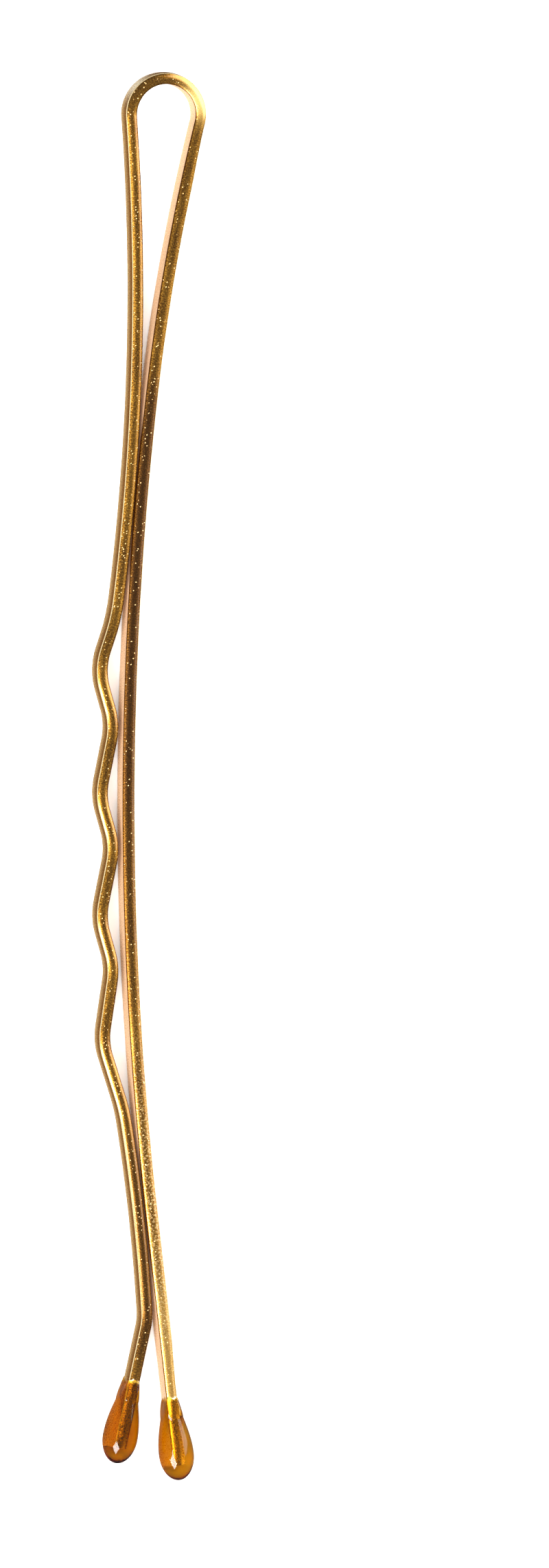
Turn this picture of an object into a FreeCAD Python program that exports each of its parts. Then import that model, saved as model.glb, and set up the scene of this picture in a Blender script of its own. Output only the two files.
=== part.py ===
"""Bobby pin: one flat spring wire bent into a bow and two legs, with a dipped tip on each end.

The pin lies on its side. +Y runs along the pin towards the bow, +X is the side of the straight leg at
the bow, and +Z is square to the plane in which the wire is bent. The origin is under the middle of the
pin, on the surface that it rests on.

The wire's centreline is drawn from the centre of the bow downwards. Its lean is the angle between the
wire and the pin's length: positive where the wire moves towards +X on its way down. A bend on the left
has its centre at -X of the wire, a bend on the right has it at +X.
"""
import os
from math import acos, atan2, cos, hypot, pi, radians, sin

import FreeCAD
import Part
import Sketcher

# Millimetres and degrees
SIZES = (
    ("wire_thickness", 0.5),
    ("wire_width", 1.1),
    ("wire_crown", 0.03),
    ("edge_round", 0.1),
    ("bow_inner_radius", 1.28),
    # The straight leg: a gentle entry bend, a long sweep and a straight foot
    ("straight_lean", 14.3),
    ("entry_radius", 88),
    ("sweep_lean", 6.8),
    ("sweep_radius", 150),
    ("foot_run", 11.1),
    # The crimped leg down to the crimp: a long bend that presses on the sweep, a shoulder and a flank
    ("press_radius", 102),
    ("press_gap", 0.04),
    ("shoulder_radius", 7.8),
    ("flank_lean", 16.5),
    ("flank_run", 1.3),
    # The crimp: crests stand away from the straight leg, troughs come near it
    ("trough_gap", 0.18),
    ("crimp_depth", 0.46),
    ("crimp_radius", 2.0),
    ("crest_to_trough", 2.4),
    ("trough_to_crest", 2.8),
    # The crimped leg below the crimp: a bend that comes to rest beside the foot, a kick and a flare
    ("rest_run", 7.3),
    ("rest_radius", 83),
    ("rest_gap", 0.16),
    ("rest_lead", 3.7),
    ("kick_radius", 2.5),
    ("kick_lean", 3.5),
    ("flare_lean", 12.5),
    ("flare_run", 5.2),
    # The tips: drops of epoxy over the wire's ends; the one on the flare sags towards the pin's length
    ("tip_diameter", 1.5),
    ("tip_length", 3.45),
    ("tip_belly", 2.45),
    ("tip_film", 0.04),
    ("tip_cover", 0.6),
    ("tip_sag_lean", 1.5),
)

CRESTS = 4
TIP_SECTIONS = 4
# A drop's sizes grow from its neck to its belly by this power of the sine of their place
SWELL_POWER = 1.4
# Share of the belly's half width that is round, so that each section keeps four sides and four corners
BELLY_ROUND_SHARE = 0.96

# Where the bends lie, from the centre of the bow. Angles come out in degrees.
LAYOUT = (
    # The crown: the arc of the wire's outer face, and where the rounded edges meet it
    ("crown_radius", "(Sizes.wire_width ^ 2 / 4 + Sizes.wire_crown ^ 2) / (2 * Sizes.wire_crown)"),
    ("crown_back", "crown_radius - Sizes.wire_thickness / 2"),
    ("crown_half", "asin((Sizes.wire_width / 2 - Sizes.edge_round) / (crown_radius - Sizes.edge_round))"),
    ("bow_radius", "Sizes.bow_inner_radius + Sizes.wire_thickness / 2"),
    ("entry_x", "(bow_radius + Sizes.entry_radius) * cos(Sizes.straight_lean)"),
    ("entry_y", "-(bow_radius + Sizes.entry_radius) * sin(Sizes.straight_lean)"),
    ("sweep_x", "entry_x + (Sizes.sweep_radius - Sizes.entry_radius) * cos(Sizes.sweep_lean)"),
    ("sweep_y", "entry_y - (Sizes.sweep_radius - Sizes.entry_radius) * sin(Sizes.sweep_lean)"),
    # The press bend touches the bow's circle and stands clear of the sweep by the press gap
    ("sweep_reach", "sqrt(sweep_x ^ 2 + sweep_y ^ 2)"),
    ("press_reach", "bow_radius + Sizes.press_radius"),
    ("legs_reach", "Sizes.press_radius + Sizes.sweep_radius + Sizes.wire_thickness + Sizes.press_gap"),
    ("press_back", "(sweep_reach ^ 2 + press_reach ^ 2 - legs_reach ^ 2) / (2 * sweep_reach)"),
    ("press_side", "sqrt(press_reach ^ 2 - press_back ^ 2)"),
    ("press_x", "(press_back * sweep_x + press_side * sweep_y) / sweep_reach"),
    ("press_y", "(press_back * sweep_y - press_side * sweep_x) / sweep_reach"),
    ("press_lean", "asin(-press_y / press_reach)"),
    # The crimp stands off the sweep where that comes furthest left
    ("trough_x", "sweep_x - Sizes.sweep_radius - Sizes.wire_thickness - Sizes.trough_gap"),
    ("crest_x", "trough_x - Sizes.crimp_depth"),
    # The shoulder starts where it and the flank lead on to the line of the crests
    ("crest_rise", "Sizes.crimp_radius * (1 - cos(Sizes.flank_lean))"),
    ("flank_reach", "Sizes.flank_run * sin(Sizes.flank_lean) + crest_rise"),
    ("shoulder_x", "crest_x + flank_reach - Sizes.shoulder_radius * cos(Sizes.flank_lean)"),
    ("shoulder_lean", "acos((shoulder_x - press_x) / (Sizes.press_radius - Sizes.shoulder_radius))"),
    ("shoulder_y", "press_y - (Sizes.press_radius - Sizes.shoulder_radius) * sin(shoulder_lean)"),
    ("flank_y", "shoulder_y - Sizes.shoulder_radius * sin(Sizes.flank_lean)"),
    ("flank_drop", "Sizes.flank_run * cos(Sizes.flank_lean) + Sizes.crimp_radius * sin(Sizes.flank_lean)"),
    ("crest_y", "flank_y - flank_drop"),
    ("crimp_pitch", "Sizes.crest_to_trough + Sizes.trough_to_crest"),
    # The foot starts where the crimped leg comes to rest beside the straight one
    ("foot_y", f"crest_y - {CRESTS - 1} * crimp_pitch - Sizes.rest_run"),
    ("foot_lean", "asin((sweep_y - foot_y) / Sizes.sweep_radius)"),
    ("rest_reach", "Sizes.sweep_radius + Sizes.rest_radius + Sizes.wire_thickness + Sizes.rest_gap"),
    ("rest_x", "sweep_x - rest_reach * cos(foot_lean)"),
    ("rest_y", "sweep_y - rest_reach * sin(foot_lean)"),
    ("rest_lean", "foot_lean + Sizes.rest_lead / Sizes.rest_radius * 180 deg / pi"),
    # The necks of the tips, on the foot and on the flare
    ("tip_grip", "Sizes.tip_length - Sizes.tip_cover"),
    ("foot_bare", "Sizes.foot_run - tip_grip"),
    ("foot_neck_x", "sweep_x - Sizes.sweep_radius * cos(foot_lean) + foot_bare * sin(foot_lean)"),
    ("foot_neck_y", "foot_y - foot_bare * cos(foot_lean)"),
    ("kick_x", "rest_x + (Sizes.rest_radius - Sizes.kick_radius) * cos(Sizes.kick_lean)"),
    ("kick_y", "rest_y + (Sizes.rest_radius - Sizes.kick_radius) * sin(Sizes.kick_lean)"),
    ("flare_x", "kick_x + Sizes.kick_radius * cos(Sizes.flare_lean)"),
    ("flare_y", "kick_y - Sizes.kick_radius * sin(Sizes.flare_lean)"),
    ("flare_bare", "Sizes.flare_run - tip_grip"),
    ("flare_neck_x", "flare_x - flare_bare * sin(Sizes.flare_lean)"),
    ("flare_neck_y", "flare_y - flare_bare * cos(Sizes.flare_lean)"),
    ("flare_tip_lean", "(Sizes.tip_sag_lean - Sizes.flare_lean) * 1 deg"),
    # The bow's centre, seen from the origin under the middle of the pin
    ("belly_radius", "Sizes.tip_diameter / 2"),
    ("tip_round", "Sizes.tip_length - Sizes.tip_belly"),
    ("tip_drop", "sqrt((tip_round * cos(foot_lean)) ^ 2 + (belly_radius * sin(foot_lean)) ^ 2)"),
    ("pin_top", "bow_radius + Sizes.wire_thickness / 2"),
    ("pin_end", "foot_neck_y - Sizes.tip_belly * cos(foot_lean) - tip_drop"),
    ("bow_x", "-(bow_radius + crest_x) / 2"),
    ("bow_y", "-(pin_top + pin_end) / 2"),
    ("bow_z", "belly_radius"),
)

doc = FreeCAD.newDocument("bobby_pin")


def make_sheet(name, rows):
    """A spreadsheet with one aliased cell for each row."""
    sheet = doc.addObject("Spreadsheet::Sheet", name)
    for number, (alias, content) in enumerate(rows, start=1):
        cell = f"A{number}"
        sheet.set(cell, content)
        sheet.setAlias(cell, alias)
    doc.recompute()
    return sheet


sizes = make_sheet("Sizes", [(alias, str(value)) for alias, value in SIZES])
layout = make_sheet("Layout", [(alias, f"={formula}") for alias, formula in LAYOUT])


def size(alias):
    return float(sizes.get(alias))


def place(alias):
    """A worked-out length, or an angle in degrees."""
    worked = layout.get(alias)
    return float(getattr(worked, "Value", worked))


def origin_plane(body, role):
    return next(feature for feature in body.Origin.OriginFeatures if feature.Role == role)


def bind(thing, path, formula):
    thing.setExpression(path, formula)


def constrain(sketch, formula, kind, *ends):
    """A dimension that follows a formula of the sheets; the drawing already has its value."""
    index = sketch.addConstraint(Sketcher.Constraint(kind, *ends))
    bind(sketch, f"Constraints[{index}]", formula)


class Bend:
    """A round stretch of the wire's centreline, from one lean to another.

    side is 1 for a bend on the right and -1 for one on the left. formulas are those of its radius and its
    centre's x and y; the last two are None where the bend's neighbours hold it in place.
    """

    def __init__(self, side, centre, radius, lean_in, lean_out, formulas):
        self.side = side
        self.centre = centre
        self.radius = radius
        self.leans = lean_in, lean_out
        self.radius_formula, self.x_formula, self.y_formula = formulas
        self.first_pos, self.last_pos = (1, 2) if side > 0 else (2, 1)

    def point(self, lean):
        x, y = self.centre
        reach = self.side * self.radius
        return FreeCAD.Vector(x - reach * cos(lean), y - reach * sin(lean), 0)

    def arc(self):
        circle = Part.Circle(FreeCAD.Vector(*self.centre, 0), FreeCAD.Vector(0, 0, 1), self.radius)
        turn = pi if self.side > 0 else 0
        first, last = sorted(self.leans)
        return Part.ArcOfCircle(circle, first + turn, last + turn)


def crossing_lean(first, second):
    """The lean of the straight run from one bend to the next, which lies on the other side."""
    across = second[1][0] - first[1][0]
    down = second[1][1] - first[1][1]
    turn = acos(first[0] * -(first[2] + second[2]) / hypot(across, down))
    lean = atan2(down, across) + turn
    return (lean + pi) % (2 * pi) - pi


def join(sketch, first, first_pos, second, second_pos):
    """Joins two ends smoothly."""
    sketch.addConstraint(Sketcher.Constraint("Tangent", first, first_pos, second, second_pos))


def draw_bends(sketch, bends):
    """Draws the bends and the runs between them, smoothly joined. Returns the last bend's number."""
    last = None
    for bend in bends:
        here = sketch.addGeometry(bend.arc())
        constrain(sketch, bend.radius_formula, "Radius", here, bend.radius)
        if bend.x_formula:
            constrain(sketch, bend.x_formula, "DistanceX", -1, 1, here, 3, bend.centre[0])
            constrain(sketch, bend.y_formula, "DistanceY", -1, 1, here, 3, bend.centre[1])
        if last is not None:
            before, number = last
            if before.side == bend.side:
                join(sketch, number, before.last_pos, here, bend.first_pos)
            else:
                run_start, run_end = before.point(before.leans[1]), bend.point(bend.leans[0])
                run = sketch.addGeometry(Part.LineSegment(run_start, run_end))
                join(sketch, number, before.last_pos, run, 1)
                join(sketch, run, 2, here, bend.first_pos)
        last = bend, here
    return last[1]


def pin_height(sketch, number, pos, formula, value):
    """Holds a point of the drawing at a height, measured from the centre of the bow."""
    constrain(sketch, formula, "DistanceY", -1, 1, number, pos, value)


def draw_end_run(sketch, bend, number, length_formula, length):
    """The straight run that ends the wire."""
    lean = bend.leans[1]
    start = bend.point(lean)
    end = start + FreeCAD.Vector(sin(lean), -cos(lean), 0) * length
    run = sketch.addGeometry(Part.LineSegment(start, end))
    join(sketch, number, bend.last_pos, run, 1)
    constrain(sketch, length_formula, "Distance", run, length)


def rounded_rectangle(sketch, across, along, corner):
    """A rectangle about the sketch's origin with round corners. Each size is a formula and its value."""
    half_x, half_y = across[1] / 2, along[1] / 2
    radius = corner[1]
    # Corner centres, anticlockwise from the first quarter
    signs = ((1, 1), (-1, 1), (-1, -1), (1, -1))
    up = FreeCAD.Vector(0, 0, 1)
    arcs = []
    for quarter, (sx, sy) in enumerate(signs):
        centre = FreeCAD.Vector(sx * (half_x - radius), sy * (half_y - radius), 0)
        circle = Part.Circle(centre, up, radius)
        arcs.append(sketch.addGeometry(Part.ArcOfCircle(circle, quarter * pi / 2, (quarter + 1) * pi / 2)))
    geometry = sketch.Geometry
    sides = []
    for quarter in range(4):
        start = geometry[arcs[quarter]].EndPoint
        end = geometry[arcs[(quarter + 1) % 4]].StartPoint
        sides.append(sketch.addGeometry(Part.LineSegment(start, end)))
    for quarter in range(4):
        join(sketch, arcs[quarter], 2, sides[quarter], 1)
        join(sketch, sides[quarter], 2, arcs[(quarter + 1) % 4], 1)
    for quarter in (1, 2, 3):
        sketch.addConstraint(Sketcher.Constraint("Equal", arcs[0], arcs[quarter]))
    sketch.addConstraint(Sketcher.Constraint("Horizontal", sides[0]))
    sketch.addConstraint(Sketcher.Constraint("Vertical", sides[1]))
    sketch.addConstraint(Sketcher.Constraint("Symmetric", arcs[0], 3, arcs[2], 3, -1, 1))
    constrain(sketch, corner[0], "Radius", arcs[0], radius)
    constrain(sketch, f"({across[0]}) / 2 - ({corner[0]})", "DistanceX", -1, 1, arcs[0], 3, half_x - radius)
    constrain(sketch, f"({along[0]}) / 2 - ({corner[0]})", "DistanceY", -1, 1, arcs[0], 3, half_y - radius)


def new_body(name):
    body = doc.addObject("PartDesign::Body", name)
    body.Label = name
    return body


def new_sketch(body, name, role):
    sketch = body.newObject("Sketcher::SketchObject", name)
    sketch.AttachmentSupport = [(origin_plane(body, role), "")]
    sketch.MapMode = "FlatFace"
    return sketch


def wire_section(sketch):
    """The wire's section: flat on the side that faces -x, crowned on the other, with four rounded edges."""
    half_thick, half_wide = size("wire_thickness") / 2, size("wire_width") / 2
    radius, crown_radius = size("edge_round"), place("crown_radius")
    crown_back, crown_half = place("crown_back"), radians(place("crown_half"))
    inner_x, edge_y = radius - half_thick, half_wide - radius
    outer_x = (crown_radius - radius) * cos(crown_half) - crown_back
    up = FreeCAD.Vector(0, 0, 1)

    def draw_arc(x, y, reach, start, end):
        circle = Part.Circle(FreeCAD.Vector(x, y, 0), up, reach)
        return sketch.addGeometry(Part.ArcOfCircle(circle, start, end))

    def draw_line(x, y, end_x, end_y):
        start, end = FreeCAD.Vector(x, y, 0), FreeCAD.Vector(end_x, end_y, 0)
        return sketch.addGeometry(Part.LineSegment(start, end))

    # Anticlockwise from the crown
    crown = draw_arc(-crown_back, 0, crown_radius, -crown_half, crown_half)
    outer_top = draw_arc(outer_x, edge_y, radius, crown_half, pi / 2)
    top = draw_line(outer_x, half_wide, inner_x, half_wide)
    inner_top = draw_arc(inner_x, edge_y, radius, pi / 2, pi)
    inner = draw_line(-half_thick, edge_y, -half_thick, -edge_y)
    inner_bottom = draw_arc(inner_x, -edge_y, radius, pi, 3 * pi / 2)
    bottom = draw_line(inner_x, -half_wide, outer_x, -half_wide)
    outer_bottom = draw_arc(outer_x, -edge_y, radius, 3 * pi / 2, 2 * pi - crown_half)
    loop = (crown, outer_top, top, inner_top, inner, inner_bottom, bottom, outer_bottom)
    for number, following in zip(loop, loop[1:] + loop[:1]):
        join(sketch, number, 2, following, 1)
    for edge in (inner_top, inner_bottom, outer_bottom):
        sketch.addConstraint(Sketcher.Constraint("Equal", outer_top, edge))
    sketch.addConstraint(Sketcher.Constraint("Vertical", inner))
    sketch.addConstraint(Sketcher.Constraint("Horizontal", top))
    sketch.addConstraint(Sketcher.Constraint("Horizontal", bottom))
    sketch.addConstraint(Sketcher.Constraint("PointOnObject", crown, 3, -1))
    constrain(sketch, "Sizes.edge_round", "Radius", outer_top, radius)
    constrain(sketch, "Layout.crown_radius", "Radius", crown, crown_radius)
    constrain(sketch, "-Layout.crown_back", "DistanceX", -1, 1, crown, 3, -crown_back)
    constrain(sketch, "-Sizes.wire_thickness / 2", "DistanceX", -1, 1, inner, 1, -half_thick)
    constrain(sketch, "Sizes.wire_width / 2", "DistanceY", -1, 1, top, 1, half_wide)
    constrain(sketch, "-Sizes.wire_width / 2", "DistanceY", -1, 1, bottom, 1, -half_wide)


def sweep_wire(body, path, turned=False):
    """Carries the wire's section along its centreline and sets the body on the pin's bow.

    turned sets the crown on the other side of the path, so that it is on the pin's outside everywhere.
    """
    section = body.newObject("Sketcher::SketchObject", f"{body.Name}_section")
    section.AttachmentSupport = [(path, "Edge1")]
    section.MapMode = "FrenetNB"
    if turned:
        half_turn = FreeCAD.Rotation(FreeCAD.Vector(0, 0, 1), 180)
        section.AttachmentOffset = FreeCAD.Placement(FreeCAD.Vector(0, 0, 0), half_turn)
    wire_section(section)
    doc.recompute()
    pipe = body.newObject("PartDesign::AdditivePipe", f"{body.Name}_wire")
    pipe.Profile = section
    pipe.Spine = path
    pipe.Mode = "Binormal"
    pipe.Binormal = FreeCAD.Vector(0, 0, 1)
    for axis in "xyz":
        bind(body, f"Placement.Base.{axis}", f"Layout.bow_{axis}")
    doc.recompute()
    return body


def spring_bow():
    body = new_body("spring_bow")
    path = new_sketch(body, "bow_path", "XY_Plane")
    radius = place("bow_radius")
    circle = Part.Circle(FreeCAD.Vector(0, 0, 0), FreeCAD.Vector(0, 0, 1), radius)
    right, left = radians(size("straight_lean")), radians(place("press_lean"))
    arc = path.addGeometry(Part.ArcOfCircle(circle, -right, pi + left))
    path.addConstraint(Sketcher.Constraint("Coincident", arc, 3, -1, 1))
    constrain(path, "Layout.bow_radius", "Radius", arc, radius)
    pin_height(path, arc, 1, "-Layout.bow_radius * sin(Sizes.straight_lean)", -radius * sin(right))
    pin_height(path, arc, 2, "-Layout.bow_radius * sin(Layout.press_lean)", -radius * sin(left))
    doc.recompute()
    return sweep_wire(body, path)


def straight_leg():
    body = new_body("straight_leg")
    path = new_sketch(body, "straight_path", "XY_Plane")
    lean, sweep_lean = -radians(size("straight_lean")), -radians(size("sweep_lean"))
    foot_lean = radians(place("foot_lean"))
    entry = Bend(
        1, (place("entry_x"), place("entry_y")), size("entry_radius"), lean, sweep_lean,
        ("Sizes.entry_radius", "Layout.entry_x", "Layout.entry_y"),
    )
    sweep = Bend(
        1, (place("sweep_x"), place("sweep_y")), size("sweep_radius"), sweep_lean, foot_lean,
        ("Sizes.sweep_radius", None, None),
    )
    sweep_number = draw_bends(path, (entry, sweep))
    pin_height(
        path, 0, entry.first_pos, "-Layout.bow_radius * sin(Sizes.straight_lean)",
        entry.point(lean).y,
    )
    pin_height(
        path, 0, entry.last_pos, "Layout.entry_y + Sizes.entry_radius * sin(Sizes.sweep_lean)",
        entry.point(sweep_lean).y,
    )
    pin_height(path, sweep_number, sweep.last_pos, "Layout.foot_y", sweep.point(foot_lean).y)
    draw_end_run(path, sweep, sweep_number, "Sizes.foot_run", size("foot_run"))
    doc.recompute()
    return sweep_wire(body, path, turned=True)


def crimped_leg():
    body = new_body("crimped_leg")
    path = new_sketch(body, "crimped_path", "XY_Plane")
    press_lean, shoulder_lean = radians(place("press_lean")), -radians(place("shoulder_lean"))
    flank_lean, rest_lean = -radians(size("flank_lean")), radians(place("rest_lean"))
    kick_lean, flare_lean = radians(size("kick_lean")), -radians(size("flare_lean"))
    press_radius, rest_radius = size("press_radius"), size("rest_radius")
    shoulder_radius, crimp_radius = size("shoulder_radius"), size("crimp_radius")
    rest_centre = place("rest_x"), place("rest_y")

    # Crests bend on the right and troughs on the left, down to the shoulder below the crimp
    waves = []
    for crest in range(CRESTS):
        drop = crest * place("crimp_pitch")
        crest_y = f"Layout.crest_y - {crest} * Layout.crimp_pitch"
        centre = place("crest_x") + crimp_radius, place("crest_y") - drop
        waves.append((1, centre, crimp_radius, "Layout.crest_x + Sizes.crimp_radius", crest_y))
        if crest < CRESTS - 1:
            centre = place("trough_x") - crimp_radius, place("crest_y") - drop - size("crest_to_trough")
            trough_y = f"{crest_y} - Sizes.crest_to_trough"
            waves.append((-1, centre, crimp_radius, "Layout.trough_x - Sizes.crimp_radius", trough_y))
    inset = rest_radius - shoulder_radius
    lower_shoulder = rest_centre[0] + inset * cos(rest_lean), rest_centre[1] + inset * sin(rest_lean)
    waves.append((-1, lower_shoulder, shoulder_radius, None, None))

    bends = [
        Bend(
            -1, (place("press_x"), place("press_y")), press_radius, press_lean, shoulder_lean,
            ("Sizes.press_radius", "Layout.press_x", "Layout.press_y"),
        ),
        Bend(
            -1, (place("shoulder_x"), place("shoulder_y")), shoulder_radius, shoulder_lean, flank_lean,
            ("Sizes.shoulder_radius", None, None),
        ),
    ]
    lean = flank_lean
    for wave, following in zip(waves, waves[1:] + [None]):
        side, centre, radius, x_formula, y_formula = wave
        next_lean = crossing_lean(wave, following) if following else rest_lean
        radius_formula = "Sizes.crimp_radius" if following else "Sizes.shoulder_radius"
        bends.append(Bend(side, centre, radius, lean, next_lean, (radius_formula, x_formula, y_formula)))
        lean = next_lean
    rest = Bend(
        -1, rest_centre, rest_radius, rest_lean, kick_lean,
        ("Sizes.rest_radius", "Layout.rest_x", "Layout.rest_y"),
    )
    kick = Bend(
        -1, (place("kick_x"), place("kick_y")), size("kick_radius"), kick_lean, flare_lean,
        ("Sizes.kick_radius", None, None),
    )
    kick_number = draw_bends(path, bends + [rest, kick])
    rest_number = kick_number - 1

    press, shoulder = bends[0], bends[1]
    pin_height(
        path, 0, press.first_pos, "-Layout.bow_radius * sin(Layout.press_lean)",
        press.point(press_lean).y,
    )
    pin_height(
        path, 0, press.last_pos, "Layout.press_y - Sizes.press_radius * sin(Layout.shoulder_lean)",
        shoulder.point(shoulder_lean).y,
    )
    pin_height(
        path, rest_number, rest.first_pos, "Layout.rest_y + Sizes.rest_radius * sin(Layout.rest_lean)",
        rest.point(rest_lean).y,
    )
    pin_height(
        path, rest_number, rest.last_pos, "Layout.rest_y + Sizes.rest_radius * sin(Sizes.kick_lean)",
        rest.point(kick_lean).y,
    )
    pin_height(
        path, kick_number, kick.last_pos, "Layout.flare_y",
        kick.point(flare_lean).y,
    )
    draw_end_run(path, kick, kick_number, "Sizes.flare_run", size("flare_run"))
    doc.recompute()
    return sweep_wire(body, path)


def grown(share, first, last):
    """A size on its share of the way from first to last, as formula and value."""
    swell = sin(pi / 2 * share) ** SWELL_POWER
    formula = f"({first[0]}) + (({last[0]}) - ({first[0]})) * sin({90 * share}) ^ {SWELL_POWER}"
    return formula, first[1] + (last[1] - first[1]) * swell


def tip(leg, neck, lean_formula):
    """A drop of epoxy on the end of a leg, less the wire inside it.

    The drop hangs down -Y from its neck. It swells from a film around the wire to a round belly and ends in
    half an ellipsoid.
    """
    name = f"{leg.Name}_tip"
    drop = new_body(f"{name}_drop")
    film, diameter = size("tip_film"), size("tip_diameter")
    belly_radius = place("belly_radius")
    # Thickness, width and corner
    film_sizes = (
        ("Sizes.wire_thickness + 2 * Sizes.tip_film", size("wire_thickness") + 2 * film),
        ("Sizes.wire_width + 2 * Sizes.tip_film", size("wire_width") + 2 * film),
        ("Sizes.edge_round + Sizes.tip_film", size("edge_round") + film),
    )
    belly_sizes = (
        ("Sizes.tip_diameter", diameter),
        ("Sizes.tip_diameter", diameter),
        (f"{BELLY_ROUND_SHARE} * Layout.belly_radius", BELLY_ROUND_SHARE * belly_radius),
    )
    sections = []
    for step in range(TIP_SECTIONS):
        share = step / (TIP_SECTIONS - 1)
        section = new_sketch(drop, f"{name}_section_{step}", "XZ_Plane")
        bind(section, "AttachmentOffset.Base.z", f"Sizes.tip_belly * {share}")
        rounded_rectangle(section, *(grown(share, *ends) for ends in zip(film_sizes, belly_sizes)))
        sections.append(section)
    doc.recompute()
    swell = drop.newObject("PartDesign::AdditiveLoft", f"{name}_swell")
    swell.Profile = sections[0]
    swell.Sections = sections[1:]
    doc.recompute()

    end = drop.newObject("PartDesign::AdditiveEllipsoid", f"{name}_end")
    end.AttachmentSupport = [(origin_plane(drop, "XZ_Plane"), "")]
    end.MapMode = "FlatFace"
    bind(end, "AttachmentOffset.Base.z", "Sizes.tip_belly")
    bind(end, "Radius1", "Layout.tip_round")
    bind(end, "Radius2", "Layout.belly_radius")
    bind(end, "Radius3", "Layout.belly_radius")
    end.Angle1 = 0
    bind(drop, "Placement.Base.x", f"Layout.bow_x + Layout.{neck}_neck_x")
    bind(drop, "Placement.Base.y", f"Layout.bow_y + Layout.{neck}_neck_y")
    bind(drop, "Placement.Base.z", "Layout.bow_z")
    bind(drop, "Placement.Rotation.Angle", lean_formula)
    doc.recompute()

    cast = doc.addObject("Part::Cut", name)
    cast.Label = name
    cast.Base = drop
    cast.Tool = leg
    doc.recompute()
    return cast


bow = spring_bow()
straight = straight_leg()
crimped = crimped_leg()
sub_parts = [
    bow,
    straight,
    crimped,
    tip(straight, "foot", "Layout.foot_lean"),
    tip(crimped, "flare", "Layout.flare_tip_lean"),
]
doc.recompute()

for item in doc.Objects:
    if "Invalid" in item.State or "Error" in item.State:
        raise RuntimeError(f"{item.Label} failed: {item.State}")
for sub_part in sub_parts:
    if sub_part.Shape.isNull() or not sub_part.Shape.isValid() or len(sub_part.Shape.Solids) != 1:
        raise RuntimeError(f"{sub_part.Label} is not one sound solid")

os.makedirs("parts", exist_ok=True)
for sub_part in sub_parts:
    sub_part.Shape.exportStep(f"parts/{sub_part.Label}.step")
    box = sub_part.Shape.BoundBox
    print(
        f"{sub_part.Label}: {sub_part.Shape.Volume:.3f} mm3,"
        f" X {box.XMin:.3f} to {box.XMax:.3f}, Y {box.YMin:.3f} to {box.YMax:.3f},"
        f" Z {box.ZMin:.3f} to {box.ZMax:.3f}"
    )
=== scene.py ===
"""Bobby pin: gold-lacquered flat spring wire with a crimped leg and two dipped amber tips.

The pin lies on its side on a pale floor. +Y runs along it towards the bow, +X is the straight leg's side
of the bow and +Z is up. The wire is drawn in millimetres from the centre of the bow and set in metres.
Its lean is the angle between the wire and the pin's length: positive where it moves towards +X on its way
down from the bow. Lengths along the wire start where the bow leaves the straight leg: they grow round the
bow and down the crimped leg, and are negative down the straight leg.
"""
from math import acos, asin, atan2, cos, hypot, pi, radians, sin, sqrt

import bpy
import numpy as np
from mathutils import Matrix, Vector


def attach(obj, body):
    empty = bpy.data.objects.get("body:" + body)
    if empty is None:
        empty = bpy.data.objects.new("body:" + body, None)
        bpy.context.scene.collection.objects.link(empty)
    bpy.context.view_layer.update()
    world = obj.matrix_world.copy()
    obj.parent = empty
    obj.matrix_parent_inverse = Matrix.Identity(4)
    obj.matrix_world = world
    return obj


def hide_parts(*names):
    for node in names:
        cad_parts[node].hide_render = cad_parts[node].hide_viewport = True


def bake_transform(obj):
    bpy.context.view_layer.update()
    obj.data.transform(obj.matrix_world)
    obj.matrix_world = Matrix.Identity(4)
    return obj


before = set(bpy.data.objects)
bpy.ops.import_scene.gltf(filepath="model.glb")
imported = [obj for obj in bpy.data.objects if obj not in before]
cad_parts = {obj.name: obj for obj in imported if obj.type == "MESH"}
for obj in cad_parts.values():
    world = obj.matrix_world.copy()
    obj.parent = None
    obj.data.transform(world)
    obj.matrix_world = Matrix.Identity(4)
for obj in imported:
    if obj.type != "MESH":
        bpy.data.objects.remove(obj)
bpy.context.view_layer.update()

MM = 0.001

# The wire's section: flat inside, crowned outside, with narrow edges that bulge between rounded ridges
WIRE_THICK = 0.5
WIRE_WIDE = 1.1
WIRE_CROWN = 0.03
EDGE_BULGE = 0.05
RIDGE_ROUND = 0.05
# The upper half of the section from outside to inside, and the points on its stretches
SIDES = "outer", "ridge", "narrow", "fold", "inside"
CROWN_POINTS = 8
RIDGE_POINTS = 7
EDGE_POINTS = 12
FLAT_POINTS = 5
# By how much rolled wire swells and shrinks, and the two waves of that in radians per millimetre
BREATH = 0.006
FAST_BREATH = 1.7
SLOW_BREATH = 0.61
BREATH_SHIFT = 1.0
# Spacing of the wire's sections along its length, and the most that it turns between two of them
SECTION_STEP = 0.09
SECTION_TURN = radians(2)

# The bow and the straight leg
BOW_INSIDE = 1.28
BOW_RADIUS = BOW_INSIDE + WIRE_THICK / 2
BOW_SQUEEZE = 0.08
BOW_SECTIONS = 120
STRAIGHT_LEAN = radians(14.3)
ENTRY_RADIUS = 88
SWEEP_LEAN = radians(6.8)
SWEEP_RADIUS = 150
FOOT_RUN = 11.1
# How far the straight leg's outer side stands out, the run over which it comes and goes, and how far
# above the tip it ends
STRAIGHT_FULL = 0.08
FULL_RUN = 3.0
FULL_END = 0.3

# The crimped leg
PRESS_RADIUS = 102
PRESS_GAP = 0.04
SHOULDER_RADIUS = 7.8
FLANK_LEAN = radians(18.66)
FLANK_RUN = 0.674
CRESTS = 4
TROUGH_GAP = 0.18
CRIMP_DEPTH = 0.46
CRIMP_RADIUS = 2.8
LAST_CREST_EASE = 0.1
CREST_TO_TROUGH = 2.4
TROUGH_TO_CREST = 2.8
REST_RUN = 7.3
REST_RADIUS = 83
REST_GAP = 0.07
REST_LEAD = 3.7
KICK_RADIUS = 2.5
KICK_LEAN = radians(3.5)
FLARE_LEAN = radians(12.5)
FLARE_RUN = 5.2

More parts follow.
